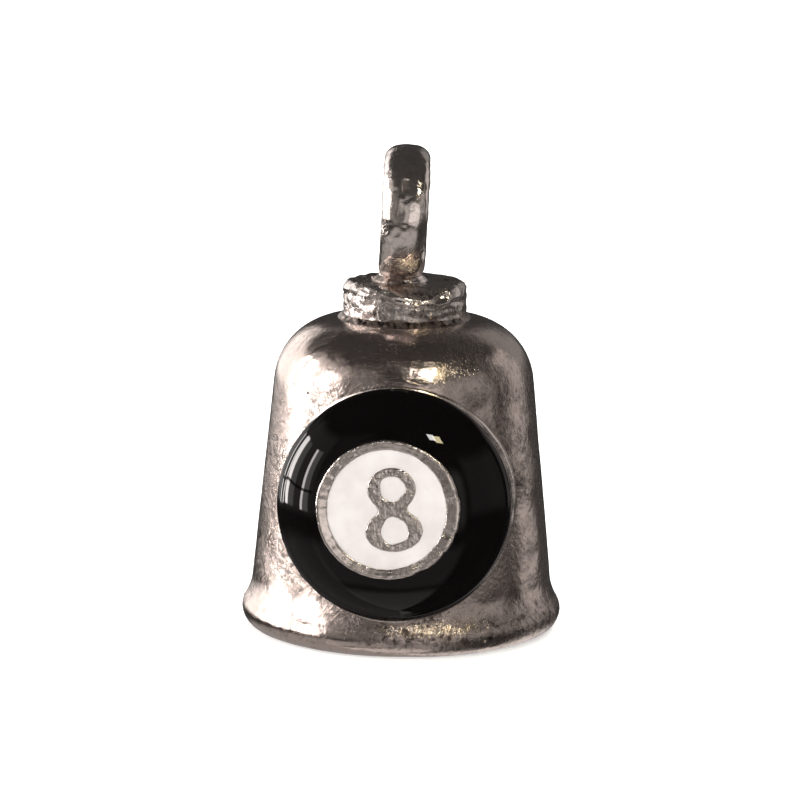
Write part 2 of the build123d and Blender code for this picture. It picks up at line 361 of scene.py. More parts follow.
# %% A Geometry Nodes tree and how it is run
def new_tree(name, inputs):
    """A Geometry Nodes tree with named inputs, its bench and a wire from each input."""
    tree = bpy.data.node_groups.new(name, "GeometryNodeTree")
    tree.interface.new_socket("Geometry", in_out="INPUT", socket_type="NodeSocketGeometry")
    for label, kind, start in inputs:
        socket = tree.interface.new_socket(label, in_out="INPUT", socket_type="NodeSocket" + kind)
        if start is not None:
            socket.default_value = start
    tree.interface.new_socket("Geometry", in_out="OUTPUT", socket_type="NodeSocketGeometry")
    bench = Bench(tree)
    entry = bench.node("NodeGroupInput")
    return tree, bench, {item.name: entry.also(item.name) for item in entry.socket.node.outputs if item.name}


def end_tree(bench, geometry, finish):
    """Realizes what was instanced, sets the finish and ends the tree."""
    solid = bench.node("GeometryNodeRealizeInstances", None, {0: geometry})
    smooth = bench.node("GeometryNodeSetShadeSmooth", None, {0: solid})
    painted = bench.node("GeometryNodeSetMaterial", None, {"Geometry": smooth, "Material": finish})
    bench.node("NodeGroupOutput", None, {0: painted})


def run_tree(tree, line, **values):
    """Runs a tree on a line and gives back the plain mesh that it makes, faces outwards."""
    maker = add_object("maker", line)
    modifier = maker.modifiers.new("make", "NODES")
    modifier.node_group = tree
    for item in tree.interface.items_tree:
        key = item.name.replace(" ", "_").lower()
        if item.in_out == "INPUT" and key in values:
            modifier[item.identifier] = values[key]
    return face_out(finished_mesh(maker))


def finished_mesh(maker):
    """The plain mesh that an object and its modifiers come to. The object is then removed."""
    graph = bpy.context.evaluated_depsgraph_get()
    made = maker.evaluated_get(graph)
    mesh = bpy.data.meshes.new_from_object(made, preserve_all_data_layers=True, depsgraph=graph)
    bpy.data.objects.remove(maker)
    return mesh


def melted(mesh, voxel, ease_steps=0):
    """The mesh's forms melted into one skin by a voxel remesh, and smoothed in so many steps."""
    maker = add_object("maker", mesh)
    melt = maker.modifiers.new("melt", "REMESH")
    melt.mode, melt.voxel_size = "VOXEL", voxel
    if ease_steps:
        ease = maker.modifiers.new("ease", "SMOOTH")
        ease.factor, ease.iterations = 0.5, ease_steps
    return face_out(finished_mesh(maker))


def face_out(mesh):
    """Merges doubles, turns every closed shell's faces outwards and shades them smooth."""
    work = bmesh.new()
    work.from_mesh(mesh)
    bmesh.ops.remove_doubles(work, verts=work.verts, dist=1e-7)
    bmesh.ops.recalc_face_normals(work, faces=work.faces)
    for face in work.faces:
        face.smooth = True
    work.to_mesh(mesh)
    work.free()
    return mesh


def place_piece(name, mesh, body, stands_for=(), finish=None):
    """Puts a finished mesh into the scene as a piece that rides on a CAD body."""
    piece = add_object(name, mesh)
    if finish:
        mesh.materials.clear()
        mesh.materials.append(finish)
    if stands_for:
        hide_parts(*stands_for)
    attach(piece, body)
    triangles = sum(len(face.vertices) - 2 for face in mesh.polygons)
    print(f"{name}: {triangles} triangles")


# %% The turning tree
turning, bench, given = new_tree("turning", [
    ("Around", "Int", 256),
    ("Along", "Int", 120),
    ("Wobble", "Float", 0.0),
    ("Wobble Scale", "Float", 160.0),
    ("Grain", "Float", 0.0),
    ("Grain Scale", "Float", 1100.0),
    ("Inside From", "Float", 2.0),
    ("Rough Lip", "Float", -1.0),
    ("Boss Height", "Float", -1.0),
    ("Boss Reach", "Float", 0.01),
    ("Pips", "Float", 0.0),
    ("Pip Radius", "Float", 0.0001),
    ("Seed", "Int", 1),
    ("Finish", "Material", None),
])
curve = bench.node("GeometryNodeMeshToCurve", None, {0: given["Geometry"]})
sheet_sockets = {0: 1.0, 1: 1.0, 2: given["Around"] + 1, 3: given["Along"] + 1}
flat = bench.node("GeometryNodeMeshGrid", None, sheet_sockets)
where = bench.node("ShaderNodeSeparateXYZ", None, {0: bench.node("GeometryNodeInputPosition")})
along = where.also("Y") + 0.5
angle = (where.also("X") + 0.5) * TURN
sampling = {"mode": "FACTOR", "use_all_curves": True}
on_line = bench.node("GeometryNodeSampleCurve", sampling, {"Curves": curve, "Factor": along}, "Position")
line_place = bench.node("ShaderNodeSeparateXYZ", None, {0: on_line})
sideways = line_place.also("X") * bench.maths("SINE", angle)
forwards = line_place.also("X") * bench.maths("COSINE", angle) * -1
inner_part = along.smooth(given["Inside From"], given["Inside From"] + 0.01)
kept = bench.node("GeometryNodeStoreNamedAttribute", {"data_type": "FLOAT"}, {
    "Geometry": flat, "Name": "inside", "Value": inner_part,
})
round_place = bench.point(sideways, forwards, line_place.also("Z"))
turned = bench.node("GeometryNodeSetPosition", None, {"Geometry": kept, "Position": round_place})
whole = bench.node("GeometryNodeMergeByDistance", None, {"Geometry": turned, "Distance": 1e-6})

# %% The coarse places, the wobble and the pips
here = bench.node("GeometryNodeInputPosition")
at = bench.node("ShaderNodeSeparateXYZ", None, {0: here})
x, y, z = at.also("X"), at.also("Y"), at.also("Z")
patches = bench.speckle(here, 260.0, 3.0, 0.5)
rubbed_rim = z.smooth(0.7 * MM, 1.5 * MM, 0.15, 1.0)
lip_zone = z.smooth(given["Rough Lip"] * 0.45, given["Rough Lip"], 1.0, 0.0) * rubbed_rim
from_boss = bench.maths("SQRT", x * x + (z - given["Boss Height"]) ** 2)
by_boss = (from_boss - given["Boss Reach"]).smooth(0.0, 2.6 * MM, 1.0, 0.0) * y.smooth(-4 * MM, 0.0, 1.0, 0.0)
coarse = bench.maths("MAXIMUM", lip_zone, by_boss) * patches.smooth(0.36, 0.6)
marked = bench.node("GeometryNodeStoreNamedAttribute", {"data_type": "FLOAT"}, {
    "Geometry": whole, "Name": "coarse", "Value": coarse,
})
wobble = (bench.speckle(here, given["Wobble Scale"], 2.0, 0.5) - 0.5) * 2 * given["Wobble"]
grain = (bench.speckle(here, given["Grain Scale"], 2.0, 0.6) - 0.5) * 2 * given["Grain"]
push = bench.vector("SCALE", a=bench.node("GeometryNodeInputNormal"), scale=wobble + grain * (0.15 + coarse))
worked = bench.node("GeometryNodeSetPosition", None, {"Geometry": marked, "Offset": push})
scatter = bench.node("GeometryNodeDistributePointsOnFaces", None, {
    "Mesh": worked, "Density": given["Pips"] * coarse, "Seed": given["Seed"],
})
pip = bench.node("GeometryNodeMeshIcoSphere", None, {"Radius": given["Pip Radius"], "Subdivisions": 2})
size_sockets = {2: 0.35, 3: 1.0, 8: given["Seed"]}
size = bench.node("FunctionNodeRandomValue", {"data_type": "FLOAT"}, size_sockets, out=1)
pips = bench.node("GeometryNodeInstanceOnPoints", None, {"Points": scatter, "Instance": pip, "Scale": size})
joined = bench.node("GeometryNodeJoinGeometry", None, {0: pips})
bench.tree.links.new(worked.socket, joined.socket.node.inputs[0])
end_tree(bench, joined, given["Finish"])
print("the turning tree has", len(turning.nodes), "nodes")

# %% [markdown]
# ## The bell
# The real bell is one casting about 24 mm tall with a wall of about 1.2 mm. From the top down its
# section is a flat crown, a large round shoulder, a wall that widens a little towards the mouth, a
# short outward curl and a rounded lip. Inside, it is open. The section goes once round all of that,
# so the turned piece is a closed shell with a real inner wall.

# %% The bell's section
WALL = 1.2
CROWN_WALL = 1.6
TANG_BORE = 1.25
SHOULDER = 5.21
LIP_EDGE_Z, LIP_TOP_Z = 1.2, 2.3
ROUGH_LIP_Z = 4.5
COARSE_REACH = 9.1
TAPER = atan(0.1015)
BOSS_Z = 12.0
BOSS_WALL = 10.9
WAIST_Z = 4.4
LIP_UNDERCUT, LIP_LAND = 1.4, 0.75

waist = (BOSS_WALL + (BOSS_Z - WAIST_Z) * tan(TAPER), WAIST_Z)
crown_corner = (waist[0] - (crown_height - WAIST_Z) * tan(TAPER), crown_height)
LIP_MARGIN = 0.016
lip_edge = (lip_radius - LIP_MARGIN, LIP_EDGE_Z)
lip_top = (lip_edge[0] - 0.3, LIP_TOP_Z)
seat = (lip_edge[0] - LIP_UNDERCUT, 0.0)
mouth = (seat[0] - LIP_LAND, 0.0)
inner_waist = waist[0] - WALL / cos(TAPER)
band_top = (mouth[0], WAIST_Z + (inner_waist - mouth[0]) / tan(TAPER))
ceiling = crown_height - CROWN_WALL
inner_corner = (inner_waist - (ceiling - WAIST_Z) * tan(TAPER), ceiling)
flare_middle = ((lip_top[0] + waist[0]) / 2 - 0.12, (lip_top[1] + waist[1]) / 2)

outer_line = [(TANG_BORE, crown_height)]
outer_line += rounded((0, crown_height), crown_corner, waist, SHOULDER, 16)
outer_line += [waist]
outer_line += arc_through(waist, flare_middle, lip_top, 8)
outer_line += arc_through(lip_top, lip_edge, seat, 14)
inner_line = [mouth, band_top]
inner_line += rounded(band_top, inner_corner, (0, ceiling), SHOULDER - WALL, 12)
inner_line += [(TANG_BORE, ceiling)]
bell_line = outer_line + inner_line
runs = [dist(a, b) for a, b in zip(bell_line, bell_line[1:] + bell_line[:1])]
inside_from = sum(runs[: len(outer_line)]) / sum(runs)
print("the bell's section is", round(sum(runs), 1), "mm long, and turns inside at", round(inside_from, 3))

# %% The bell casting
bell_mesh = run_tree(
    turning, section(bell_line), around=330, along=220, wobble=0.05 * MM, wobble_scale=170.0,
    grain=0.045 * MM, grain_scale=1000.0, inside_from=inside_from, rough_lip=ROUGH_LIP_Z * MM,
    boss_height=BOSS_Z * MM, boss_reach=COARSE_REACH * MM, pips=1.6e5, pip_radius=0.13 * MM, seed=8,
    finish=cast_pewter,
)

# %% [markdown]
# ## Working a mesh's points one by one
# A turned piece comes out too regular. The real collar was filed by hand: its front edge drops to the
# right, and a slot is left in it. The bell's lip is worn flat underneath. A small function moves each
# point of a finished mesh, which suits such one-off marks better than more nodes would.

# %% A function that works a mesh point by point
def work_points(mesh, change):
    """Moves each point by what change(place in mm, normal) gives in mm."""
    normals = [vertex.normal.copy() for vertex in mesh.vertices]
    for vertex, normal in zip(mesh.vertices, normals):
        vertex.co += change(vertex.co / MM, normal) * MM
    mesh.update()
    return mesh


def lumpy(x, y, z):
    """Smooth noise at a place, from about -1 to 1."""
    return noise.noise(Vector((x, y, z)))


def hump(value, centre, width):
    """One at the centre, falling smoothly to nothing over the width on both sides."""
    share = min(1.0, abs(value - centre) / width)
    return (1 - share * share) ** 2


# %% The bell's lip
def flatten_lip(place, normal):
    """The lip's underside is worn flat where the bell rests on it."""
    return Vector((0, 0, -0.95 * min(0.0, place.z)))


work_points(bell_mesh, flatten_lip)
place_piece("bell_casting", bell_mesh, "bell", ["bell_shell"])

# %% The collar casting
COLLAR_CHAMFER = 0.5
FILED_FROM = 1.2
collar_radius = collar_high.x
collar_top = collar_high.z
collar_line = [
    (TANG_BORE, collar_low.z),
    (collar_radius - 0.15, collar_low.z),
    (collar_radius, collar_low.z + 0.2),
    (collar_radius, collar_top - COLLAR_CHAMFER),
    (collar_radius - COLLAR_CHAMFER * 0.45, collar_top - COLLAR_CHAMFER * 0.3),
    (collar_radius - COLLAR_CHAMFER, collar_top),
    (TANG_BORE, collar_top),
]


def file_collar(place, normal):
    """The filed front edge, the slot and the streaks on the side."""
    side = degrees(atan2(place.x, -place.y))
    reach = hypot(place.x, place.y)
    height = place.z - collar_low.z
    share = max(0.0, (height - FILED_FROM) / (collar_top - collar_low.z - FILED_FROM))
    share *= min(1.0, max(0.0, (reach - 3.0) / 1.3))
    drop = -0.75 * hump(side, 24, 44) + 0.12 * hump(side, -52, 40)
    drop += 0.07 * lumpy(side * 0.07, 3.1, 0)
    slot_cut = 0.55 * hump(side, 43, 13) * hump(place.z, collar_top - 0.5, 0.55) * (reach > 4)
    streak = 0.09 * lumpy(side * 0.045, height * 2.8, 0) * (reach > 4.4)
    streak += 0.06 * lumpy(side * 0.11, height * 6.0, 7.0) * (reach > 4.4)
    outward = Vector((place.x, place.y, 0)).normalized()
    return Vector((0, 0, drop * share)) + outward * (streak - slot_cut)


collar_mesh = run_tree(
    turning, section(collar_line), around=300, along=90, wobble=0.04 * MM, wobble_scale=320.0,
    grain=0.16 * MM, grain_scale=900.0, finish=bright_pewter,
)
face_out(work_points(collar_mesh, file_collar))
place_piece("collar_casting", collar_mesh, "bell", ["crown_collar"])

# %% [markdown]
# ## The solder beads
# The collar is soldered to the crown, and the loop to the collar. Each joint is a lumpy ring of grey
# solder with small balls on it. The turning tree makes both from a sloping section, with a deeper
# wobble, and the balls are its pips.

# %% The two beads
shoulder_low = box_mm("collar_solder")[0].z
bead_reach = box_mm("collar_solder")[1].x
loop_bead_high = box_mm("loop_solder")[1]
collar_bead_line = [
    (collar_radius - 0.3, shoulder_low - 0.15),
    (bead_reach, shoulder_low - 0.1),
    (bead_reach - 0.08, collar_low.z - 0.1),
    (bead_reach - 0.32, collar_low.z + 0.12),
    (collar_radius + 0.05, collar_low.z + 0.34),
    (collar_radius - 0.3, collar_low.z + 0.34),
]
collar_bead_mesh = run_tree(
    turning, section(collar_bead_line), around=260, along=30, wobble=0.1 * MM, wobble_scale=900.0,
    grain=0.1 * MM, grain_scale=2200.0, rough_lip=1.0, pips=3e5, pip_radius=0.12 * MM, seed=3,
    finish=solder_grey,
)
place_piece("collar_solder_bead", collar_bead_mesh, "bell", ["collar_solder"])

bead_r = loop_bead_high.x
loop_bead_line = [
    (1.0, collar_top - 0.15),
    (bead_r, collar_top - 0.12),
    (bead_r - 0.03, collar_top + 0.08),
    (bead_r - 0.25, collar_top + 0.26),
    (1.62, collar_top + 0.5),
    (1.0, collar_top + 0.55),
]
loop_bead_mesh = run_tree(
    turning, section(loop_bead_line), around=150, along=34, wobble=0.14 * MM, wobble_scale=1000.0,
    grain=0.1 * MM, grain_scale=2400.0, rough_lip=1.0, pips=1.2e6, pip_radius=0.2 * MM, seed=5,
    finish=solder_grey,
)
LOOP_LEAN = radians(2.5)
LOOP_TURN = tan(radians(5.0))
FOOT_SHIFT = -0.33
work_points(loop_bead_mesh, lambda place, normal: Vector((FOOT_SHIFT, 0, -0.25 * hump(place.x, 1.9, 2.5))))
place_piece("loop_solder_bead", loop_bead_mesh, "bell", ["loop_solder"])

# %% [markdown]
# ## The hanging loop
# The loop is a thick ring of oval section, seen from its edge, that grows out of a short foot. Below
# the collar it goes on as a tang, which passes the crown and ends in a rivet over a washer. Ring, foot
# and tang are separate simple forms here. A voxel remesh melts them into one skin, which is how a wax
# model of it would be made, and then the skin is smoothed and dented a little.

# %% The loop's rough forms
eye_z = mounts["hanging_eye"]["pos_m"][2] / MM
EYE_RADIUS = mounts["hanging_eye"]["dims"]["r_mm"]
ring_thick = loop_high.z - eye_z - EYE_RADIUS
ring_path = EYE_RADIUS + ring_thick / 2
ring_half = loop_high.x


def oval(turns, half_width, half_thick, fullness):
    """A point on a superellipse, which is an oval with fuller shoulders."""
    c, s = cos(turns), sin(turns)
    power = 2 / fullness
    return half_width * copysign(abs(c) ** power, c), half_thick * copysign(abs(s) ** power, s)


def grid_faces(rows, columns, close_rows):
    """The quads of a grid of points whose columns close on themselves."""
    faces = []
    for i in range(rows if close_rows else rows - 1):
        for j in range(columns):
            a, b = i * columns + j, i * columns + (j + 1) % columns
            k = (i + 1) % rows * columns
            faces.append((a, b, k + (j + 1) % columns, k + j))
    return faces


RING_STEPS, OVAL_STEPS = 96, 40
ring_points = []
for i in range(RING_STEPS):
    around = TURN * i / RING_STEPS
    for j in range(OVAL_STEPS):
        across, out = oval(TURN * j / OVAL_STEPS, ring_half, ring_thick / 2, 2.35)
        reach = ring_path + out
        ring_points.append((across, reach * sin(around), eye_z - reach * cos(around)))
loop_work = bmesh.new()
ring_mesh = bpy.data.meshes.new("ring")
ring_mesh.from_pydata(ring_points, [], grid_faces(RING_STEPS, OVAL_STEPS, True))
loop_work.from_mesh(ring_mesh)


def post(radius_low, radius_high, low, high):
    """A round post of two radii, closed at both ends, added to the loop."""
    made = bmesh.ops.create_cone(
        loop_work, cap_ends=True, segments=48, radius1=radius_low, radius2=radius_high, depth=high - low
    )
    bmesh.ops.translate(loop_work, verts=made["verts"], vec=(0, 0, (low + high) / 2))


tang_low = loop_low.z
post(1.2, 1.2, tang_low + 0.3, collar_top + 0.4)
post(1.95, 1.55, collar_top - 0.05, collar_top + 0.9)
post(1.55, 1.3, collar_top + 0.8, collar_top + 1.6)
post(1.5, 1.8, tang_low, tang_low + 0.35)
post(1.8, 1.75, tang_low + 0.34, tang_low + 0.7)
bmesh.ops.scale(loop_work, vec=(MM, MM, MM), verts=loop_work.verts)
loop_work.to_mesh(ring_mesh)
loop_work.free()

# %% The loop melted into one casting
loop_mesh = melted(ring_mesh, 0.085 * MM, ease_steps=8)


def dent_loop(place, normal):
    """The ring's lean and the small flats and dents of its front."""
    soft = 0.06 * noise.noise(place * 0.55) + 0.03 * noise.noise(place * 1.6 + Vector((4, 1, 9)))
    above = max(0.0, min(1.0, (place.z - collar_top + 0.2) / 0.6))
    lean = FOOT_SHIFT + (place.z - collar_top) * tan(LOOP_LEAN)
    turned = Vector((-place.y * LOOP_TURN, 0, 0)) * min(1.0, above)
    shallow = -0.12 * hump(place.x, 0.1, 1.3) * max(0.0, -normal.y) * hump(place.z, eye_z + 2.6, 3.2)
    return normal * (soft + shallow) * above + Vector((lean * above, 0, 0)) + turned


work_points(loop_mesh, dent_loop)
place_piece("loop_casting", loop_mesh, "bell", ["hanger_loop"], bright_pewter)

# %% [markdown]
# ## The boss and its own frame
# The boss stands square to the tapered wall, so it is easiest to model in a frame of its own: u to the
# right, v up the wall and w out of it. Its back is a saddle that follows the bell. Where that is can be
# found by halving: for each u and v, the point on the bell is between a point inside and one outside.

# %% The boss's frame and the bell's surface in it
BOSS_RADIUS = 8.85
RING_OUT, RING_IN = 5.24, 4.5
ENAMEL_TOP, ENAMEL_FLOOR = 3.2, 2.8
BOSS_SHIFT = Vector((0.3, 0, -0.24))
FIELD_SHIFT = Vector((-0.24, 0, -0.05))
boss_origin = Vector((0, -BOSS_WALL, BOSS_Z)) + BOSS_SHIFT
up_wall = Vector((0, sin(TAPER), cos(TAPER)))
out_wall = Vector((0, -cos(TAPER), sin(TAPER)))
outer_profile = np.array(sorted((z, r) for r, z in outer_line if z >= lip_top[1] - 1e-6))


def on_boss(u, v, w):
    """A point of the boss's frame as a place in millimetres. Its middle was cast a little off centre."""
    share = min(1.0, max(0.0, (BOSS_RADIUS - hypot(u, v)) / (BOSS_RADIUS - RING_OUT)))
    return boss_origin + Vector((u, 0, 0)) + FIELD_SHIFT * share + up_wall * v + out_wall * w


def bell_depth(u, v):
    """How far out the bell's surface is at u, v: arrays in, array out."""
    u, v = np.asarray(u, float), np.asarray(v, float)
    low, high = np.full(u.shape, -9.0), np.full(u.shape, 1.5)
    for _ in range(40):
        w = (low + high) / 2
        y = boss_origin.y + v * up_wall.y + w * out_wall.y
        z = boss_origin.z + v * up_wall.z + w * out_wall.z
        outside = np.hypot(u, y) > np.interp(z, outer_profile[:, 0], outer_profile[:, 1])
        low, high = np.where(outside, low, w), np.where(outside, w, high)
    return (low + high) / 2


STEPS = 288
bearing = np.arange(STEPS) * TURN / STEPS
medallion_low = box_mm("medallion")[0]
front_most = on_boss(0, 0, ENAMEL_TOP)
print("the boss reaches y", round(front_most.y, 2), "and in the CAD", round(medallion_low.y, 2))


def ring_noise(scale, seed, depth):
    """A wobble with no seam, one value for each step round the boss."""
    places = [Vector((cos(a) * scale, sin(a) * scale, seed)) for a in bearing]
    return depth * np.array([noise.noise(place) for place in places])


def boss_skin(name, rows, poles):
    """A closed mesh from rows of (reach, height) round the boss's axis, with or without poles."""
    points = []
    for reach, height in rows:
        reach = np.broadcast_to(reach, bearing.shape)
        height = np.broadcast_to(height, bearing.shape)
        points += [on_boss(r * cos(a), r * sin(a), w) for r, a, w in zip(reach, bearing, height)]
    faces = grid_faces(len(rows), STEPS, not poles)
    for pole, row in zip(poles, (0, len(rows) - 1)):
        tip = len(points)
        points.append(on_boss(0, 0, pole))
        faces += [(row * STEPS + j, row * STEPS + (j + 1) % STEPS, tip) for j in range(STEPS)]
    mesh = bpy.data.meshes.new(name)
    mesh.from_pydata([p * MM for p in points], [], faces)
    return face_out(mesh)


def surface_row(reach):
    """The bell's surface under a circle of that reach round the boss's axis."""
    return bell_depth(reach * np.cos(bearing), reach * np.sin(bearing))


# %% [markdown]
# ## The boss casting
# A thin ledge hugs the bell. From it rises a domed core, hidden by the enamel, and in the middle the
# raised ring that keeps the black enamel from the white. The ring was polished by hand, so its outer
# edge is the highest and brightest, its inner side slopes, and a few nicks are left in it.

# %% The ledge, core and raised ring
# Nicks in the ring: bearing and half width in degrees, depth.
NICKS = [(-20, 5, 0.16), (13, 4, 0.08), (-59, 7, 0.12), (-35, 3, 0.07), (118, 4, 0.06)]
degrees_round = np.degrees(bearing)
nick = np.zeros(STEPS)
for centre, width, depth in NICKS:
    away = np.abs((degrees_round - centre + 180) % 360 - 180)
    nick += depth * np.clip(1 - away / width, 0, 1)
uneven_out = ring_noise(2.5, 1.0, 0.05) + ring_noise(9.0, 2.0, 0.035) - nick * 0.8
sidewards = np.cos(bearing)
uneven_out += 0.32 * np.clip(sidewards, 0, 1) ** 2 + 0.12 * np.clip(-sidewards, 0, 1) ** 2
uneven_in = ring_noise(3.0, 3.0, 0.045) + ring_noise(10.0, 4.0, 0.03)
uneven_up = ring_noise(2.0, 5.0, 0.03) + ring_noise(12.0, 6.0, 0.03) - nick
RING_SECTION = [  # share of the way from the ring's inner to its outer edge, height over the enamel
    (0.0, 0.06), (0.06, 0.1), (0.25, 0.12), (0.45, 0.16), (0.62, 0.2),
    (0.76, 0.22), (0.88, 0.2), (0.97, 0.13), (1.0, 0.0),
]
ring_rows = [(RING_IN, ENAMEL_FLOOR)]
for share, height in RING_SECTION:
    reach = RING_IN + (RING_OUT - RING_IN) * share + uneven_in * (1 - share) + uneven_out * share
    extra = ring_noise(14.0 + 5 * share, 10 + share * 9, 0.022)
    ring_rows.append((reach, ENAMEL_TOP + height + uneven_up * (height > 0.08) + extra))
ring_rows += [(RING_OUT + 0.01 + uneven_out, ENAMEL_FLOOR)]


DOME_ROUND, ROLL_ROUND, ROLL_FROM = 6.8, 1.2, 49.0
RING_TILT = radians(18)
dome_middle = RING_OUT - DOME_ROUND * sin(RING_TILT)
dome_centre = ENAMEL_TOP - DOME_ROUND * cos(RING_TILT)
roll_middle = BOSS_RADIUS - ROLL_ROUND
roll_share = radians(ROLL_FROM)
roll_shift = dome_middle + (DOME_ROUND - ROLL_ROUND) * sin(roll_share) - roll_middle
roll_centre = dome_centre + (DOME_ROUND - ROLL_ROUND) * cos(roll_share)
print("the roll at the dome's rim meets the side within", round(roll_shift, 3), "mm")


def dome(tilt):
    """Reach and height on the enamel's dome, where its face is turned out by tilt degrees."""
    a = radians(tilt)
    if tilt <= ROLL_FROM:
        return dome_middle + DOME_ROUND * sin(a), dome_centre + DOME_ROUND * cos(a)
    reach = roll_middle + roll_shift * (90 - tilt) / (90 - ROLL_FROM) + ROLL_ROUND * sin(a)
    return reach, roll_centre + ROLL_ROUND * cos(a)


def under_dome(tilt, inwards, down):
    """The same place on the dome, moved towards the axis as far as the dome is steep, and down."""
    reach, height = dome(tilt)
    return reach - inwards * sin(radians(tilt)), height - down


core_rows = [under_dome(tilt, 0.38, 0.4) for tilt in (22, 30, 40, 60, 90)]
lumps = ring_noise(6.0, 8.0, 0.05)
LEDGE_SECTION = [  # reach from the boss's axis, rise over the bell's surface
    (8.46, 0.27), (8.8, 0.3), (8.9, 0.29), (8.97, 0.22), (9.01, 0.12), (9.04, 0.0), (9.06, -0.2),
]
ledge_rows = []
for reach, rise in LEDGE_SECTION:
    ledge_rows.append((reach + lumps, surface_row(reach) + rise + ring_noise(9.0, 20 + reach, 0.03)))
back_rows = [(reach, surface_row(reach) - 0.4) for reach in (8.6, 6.0, 3.0, 1.0)]
boss_rows = [(1.5, ENAMEL_FLOOR), (3.2, ENAMEL_FLOOR)] + ring_rows + core_rows + ledge_rows + back_rows
boss_mesh = boss_skin("boss", boss_rows, (ENAMEL_FLOOR, -0.4))
place_piece("boss_casting", boss_mesh, "bell", ["medallion"], relief_pewter)

# %% [markdown]
# ## The enamels
# Enamel is powdered glass, melted in place. The black is a thin closed shell over the core: a dome
# that rolls over into a steep side, and creeps a little up the ring. The white is a flat layer between
# the ring and the numeral, slightly raised where it touches them, with one drop in each counter.

# %% The black enamel
outside = [(RING_OUT - 0.02, ENAMEL_TOP + 0.03), (RING_OUT + 0.06, ENAMEL_TOP + 0.01)]
outside += [dome(tilt) for tilt in range(20, 91, 2)]
inside_line = [under_dome(tilt, 0.4, 0.38) for tilt in range(90, 19, -7)]
FOOT_RISE = 0.22
foot = surface_row(BOSS_RADIUS) + FOOT_RISE
side_rows = [(BOSS_RADIUS, outside[-1][1] * (1 - s) + foot * s) for s in (0.33, 0.66, 1.0)]
inner_foot = surface_row(BOSS_RADIUS - 0.38) + FOOT_RISE
slow = ring_noise(1.6, 30.0, 0.03)
black_rows = [(r + slow * (r > 6), w + slow * 0.5) for r, w in outside]
black_rows += [(r + slow, np.minimum(w, outside[-1][1])) for r, w in side_rows]
black_rows += [(BOSS_RADIUS - 0.4, np.minimum(inner_foot, -0.4))]
black_rows += inside_line + [(RING_OUT, ENAMEL_FLOOR + 0.05)]
black_mesh = boss_skin("black", black_rows, ())
place_piece("black_enamel_band", black_mesh, "bell", ["black_enamel"], black_glass)

# %% The numeral's outline
LEAN = radians(4.8)
NUMERAL_SHIFT = 0.47
BOWL = 1.6
UPPER, LOWER = (1.85, 1.62), (2.18, 1.6)
COUNTERS = [(0.05, BOWL, 0.92, 1.0), (0.02, -BOWL + 0.02, 1.0, 2.4)]


def numeral_place(x, y):
    """From the upright numeral to the boss's frame."""
    return NUMERAL_SHIFT + x * cos(LEAN) - y * sin(LEAN), x * sin(LEAN) + y * cos(LEAN)


def in_numeral(x, y):
    """Below zero inside the numeral: two bowls and a waist, melted together."""
    bowls = []
    for (wide, tall), centre in ((UPPER, BOWL), (LOWER, -BOWL)):
        bowls.append((hypot(x / wide, (y - centre) / tall) - 1) * tall)
    bowls.append(max(abs(x) - 1.0, abs(y) - BOWL))
    soft = 0.16
    return -soft * log(sum(exp(-b / soft) for b in bowls))


OUTLINE_STEPS = 168
outline = []
for i in range(OUTLINE_STEPS):
    a = TURN * i / OUTLINE_STEPS
    low, high = 0.3, 5.0
    samples = [low + (high - low) * k / 160 for k in range(161)]
    last = max(t for t in samples if in_numeral(t * cos(a), t * sin(a)) < 0)
    reach = last + 0.04 * lumpy(cos(a) * 2.2, sin(a) * 2.2, 5)
    outline.append((reach * cos(a), reach * sin(a)))
outline = [
    tuple(sum(outline[(i + k) % OUTLINE_STEPS][axis] for k in (-1, 0, 1)) / 3 for axis in (0, 1))
    for i in range(OUTLINE_STEPS)
]


def counter_line(centre_x, centre_y, radius, phase, steps=56):
    """A counter's slightly uneven round edge."""
    line = []
    for k in range(steps):
        a = TURN * k / steps
        reach = radius * (1 + 0.05 * sin(3 * a + phase) + 0.03 * sin(5 * a + 2 * phase))
        line.append((centre_x + reach * cos(a), centre_y + reach * sin(a)))
    return line


heights = [p[1] for p in outline]
print("the numeral's outline is", round(max(heights) - min(heights), 2), "mm tall")

# %% The raised numeral
flat_shape = bpy.data.curves.new("numeral", "CURVE")
flat_shape.dimensions, flat_shape.fill_mode = "2D", "BOTH"
flat_shape.extrude, flat_shape.bevel_depth, flat_shape.bevel_resolution = 0.12, 0.14, 3
flat_shape.offset = -0.14
for line in [outline] + [counter_line(*counter) for counter in COUNTERS]:
    spline = flat_shape.splines.new("POLY")
    spline.points.add(len(line) - 1)
    for point, (x, y) in zip(spline.points, line):
        point.co = (x, y, 0, 1)
    spline.use_cyclic_u = True
numeral_mesh = melted(face_out(finished_mesh(add_object("maker", flat_shape))), 0.045)
NUMERAL_TOP = ENAMEL_TOP + 0.14
for vertex in numeral_mesh.vertices:
    x, y, w = vertex.co
    rough = 0.035 * lumpy(x * 2.6, y * 2.6, 2) + 0.02 * lumpy(x * 7, y * 7, 5)
    u, v = numeral_place(x, y)
    vertex.co = on_boss(u, v, NUMERAL_TOP - 0.26 + w + (rough - 0.02 if w > 0.1 else 0)) * MM
face_out(numeral_mesh)
place_piece("raised_numeral", numeral_mesh, "bell", (), relief_pewter)

# %% The white enamel
FIELD_ROWS = 22


